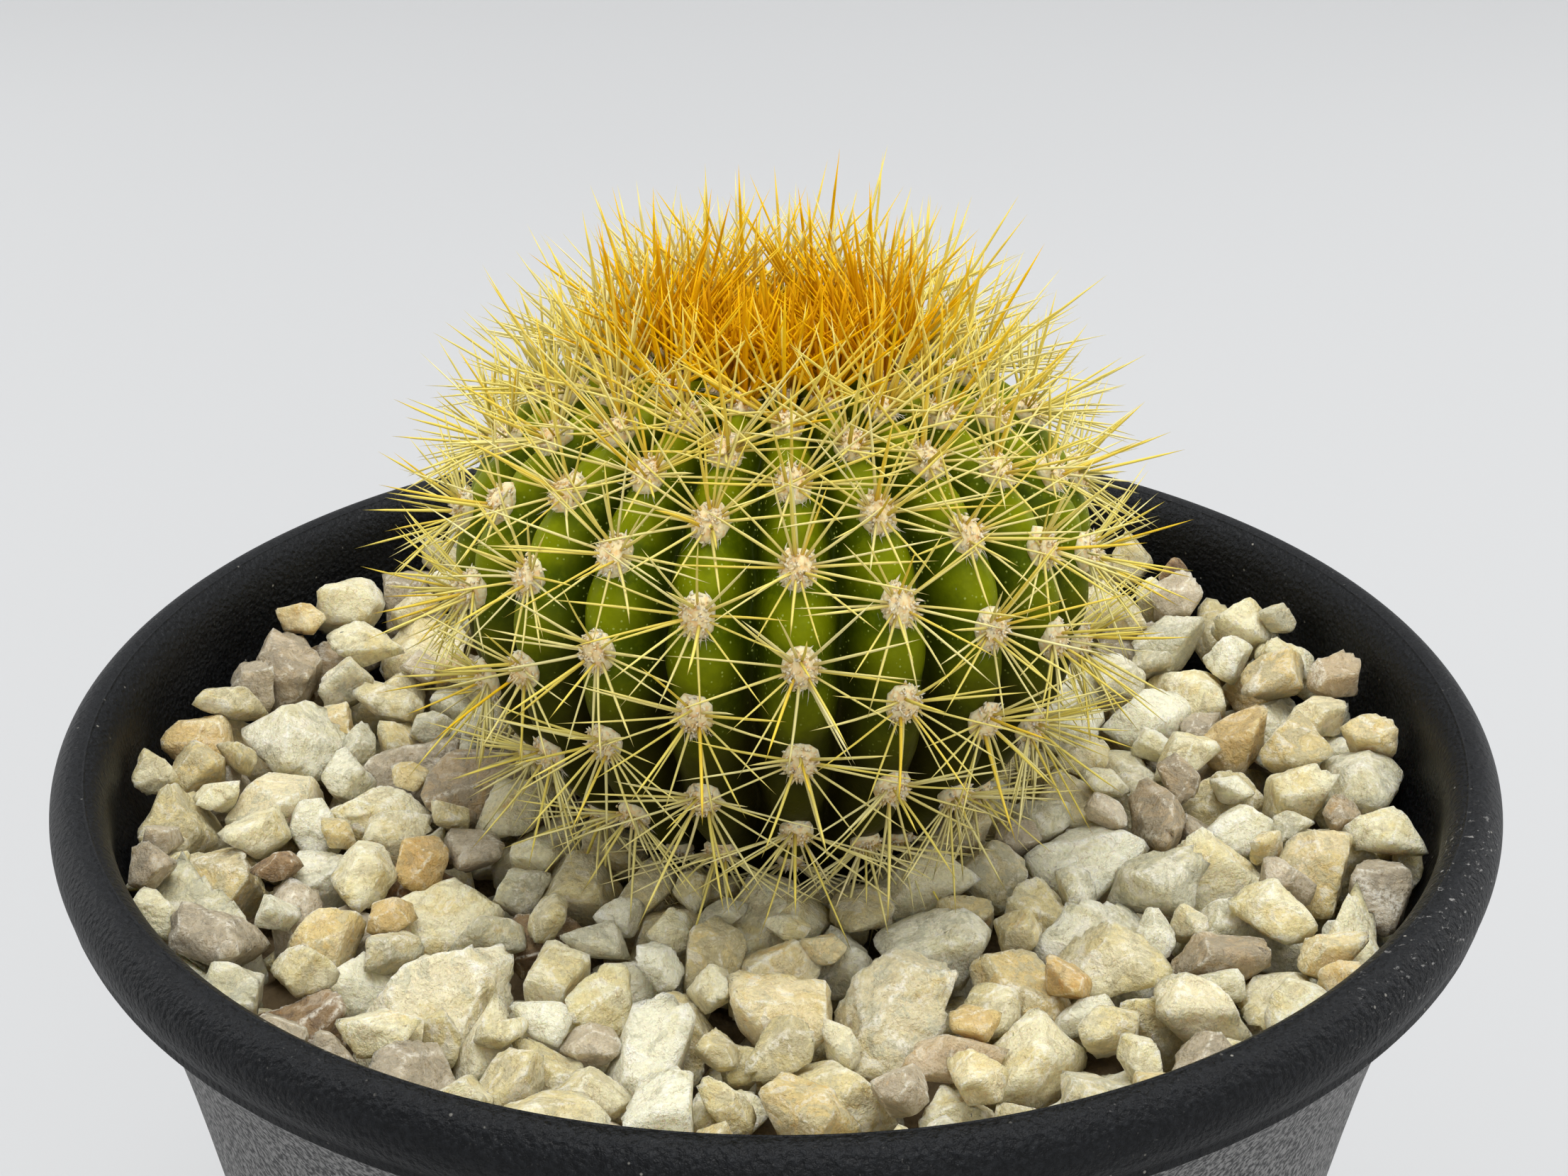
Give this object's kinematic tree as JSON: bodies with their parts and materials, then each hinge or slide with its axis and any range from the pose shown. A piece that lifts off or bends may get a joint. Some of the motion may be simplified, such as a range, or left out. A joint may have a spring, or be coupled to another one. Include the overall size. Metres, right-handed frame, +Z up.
{
  "type": "potted round cactus",
  "caption": "Small round ribbed cactus with golden spines, planted in pale gravel in a flared round black pot; stands on its foot ring as a table or shelf plant.",
  "frame": {"origin": "middle of the circle that the pot's foot ring stands on", "axes": "+Z up along the pot's axis, -Y towards the front, +X to the right seen from the front"},
  "size_m": [0.09, 0.09, 0.1085],
  "materials": {
    "pot_plastic": "matte",
    "potting_mix": "matte",
    "gravel": "matte",
    "stone_cream": "satin",
    "stone_pale": "satin",
    "stone_grey": "satin",
    "stone_tan": "satin",
    "stone_brown": "satin",
    "cactus_skin": "satin",
    "crown_spines": "satin",
    "spines": "satin"
  },
  "bodies": {
    "root": {"pot": "pot_plastic", "potting_mix": "potting_mix", "gravel_bed": "gravel", "gravel_stone_01": "stone_pale", "gravel_stone_02": "stone_pale", "gravel_stone_03": "stone_brown", "gravel_stone_04": "stone_cream", "gravel_stone_05": "stone_cream", "gravel_stone_06": "stone_cream", "gravel_stone_07": "stone_cream", "gravel_stone_08": "stone_pale", "gravel_stone_09": "stone_cream", "gravel_stone_10": "stone_pale", "gravel_stone_11": "stone_pale", "gravel_stone_12": "stone_cream", "gravel_stone_13": "stone_cream", "gravel_stone_14": "stone_cream", "gravel_stone_15": "stone_cream", "gravel_stone_16": "stone_grey", "gravel_stone_17": "stone_cream", "gravel_stone_18": "stone_pale", "gravel_stone_19": "stone_cream", "gravel_stone_20": "stone_cream", "gravel_stone_21": "stone_pale", "gravel_stone_22": "stone_brown", "gravel_stone_23": "stone_brown", "gravel_stone_24": "stone_grey", "gravel_stone_25": "stone_grey", "gravel_stone_26": "stone_cream", "gravel_stone_27": "stone_grey", "gravel_stone_28": "stone_pale", "gravel_stone_29": "stone_cream", "gravel_stone_30": "stone_pale", "gravel_stone_31": "stone_grey", "gravel_stone_32": "stone_cream", "gravel_stone_33": "stone_tan", "cactus_stem": "cactus_skin", "crown_spines": "crown_spines", "spine_row_01": "spines", "spine_row_02": "spines", "spine_row_03": "spines", "spine_row_04": "spines", "spine_row_05": "spines", "spine_row_06": "spines", "spine_row_07": "spines", "spine_row_08": "spines", "spine_row_09": "spines", "spine_row_10": "spines", "spine_row_11": "spines", "spine_row_12": "spines", "spine_row_13": "spines", "spine_row_14": "spines", "spine_row_15": "spines", "spine_row_16": "spines", "spine_row_17": "spines", "spine_row_18": "spines", "spine_row_19": "spines", "spine_row_20": "spines", "spine_row_21": "spines"}
  },
  "joints": []
}
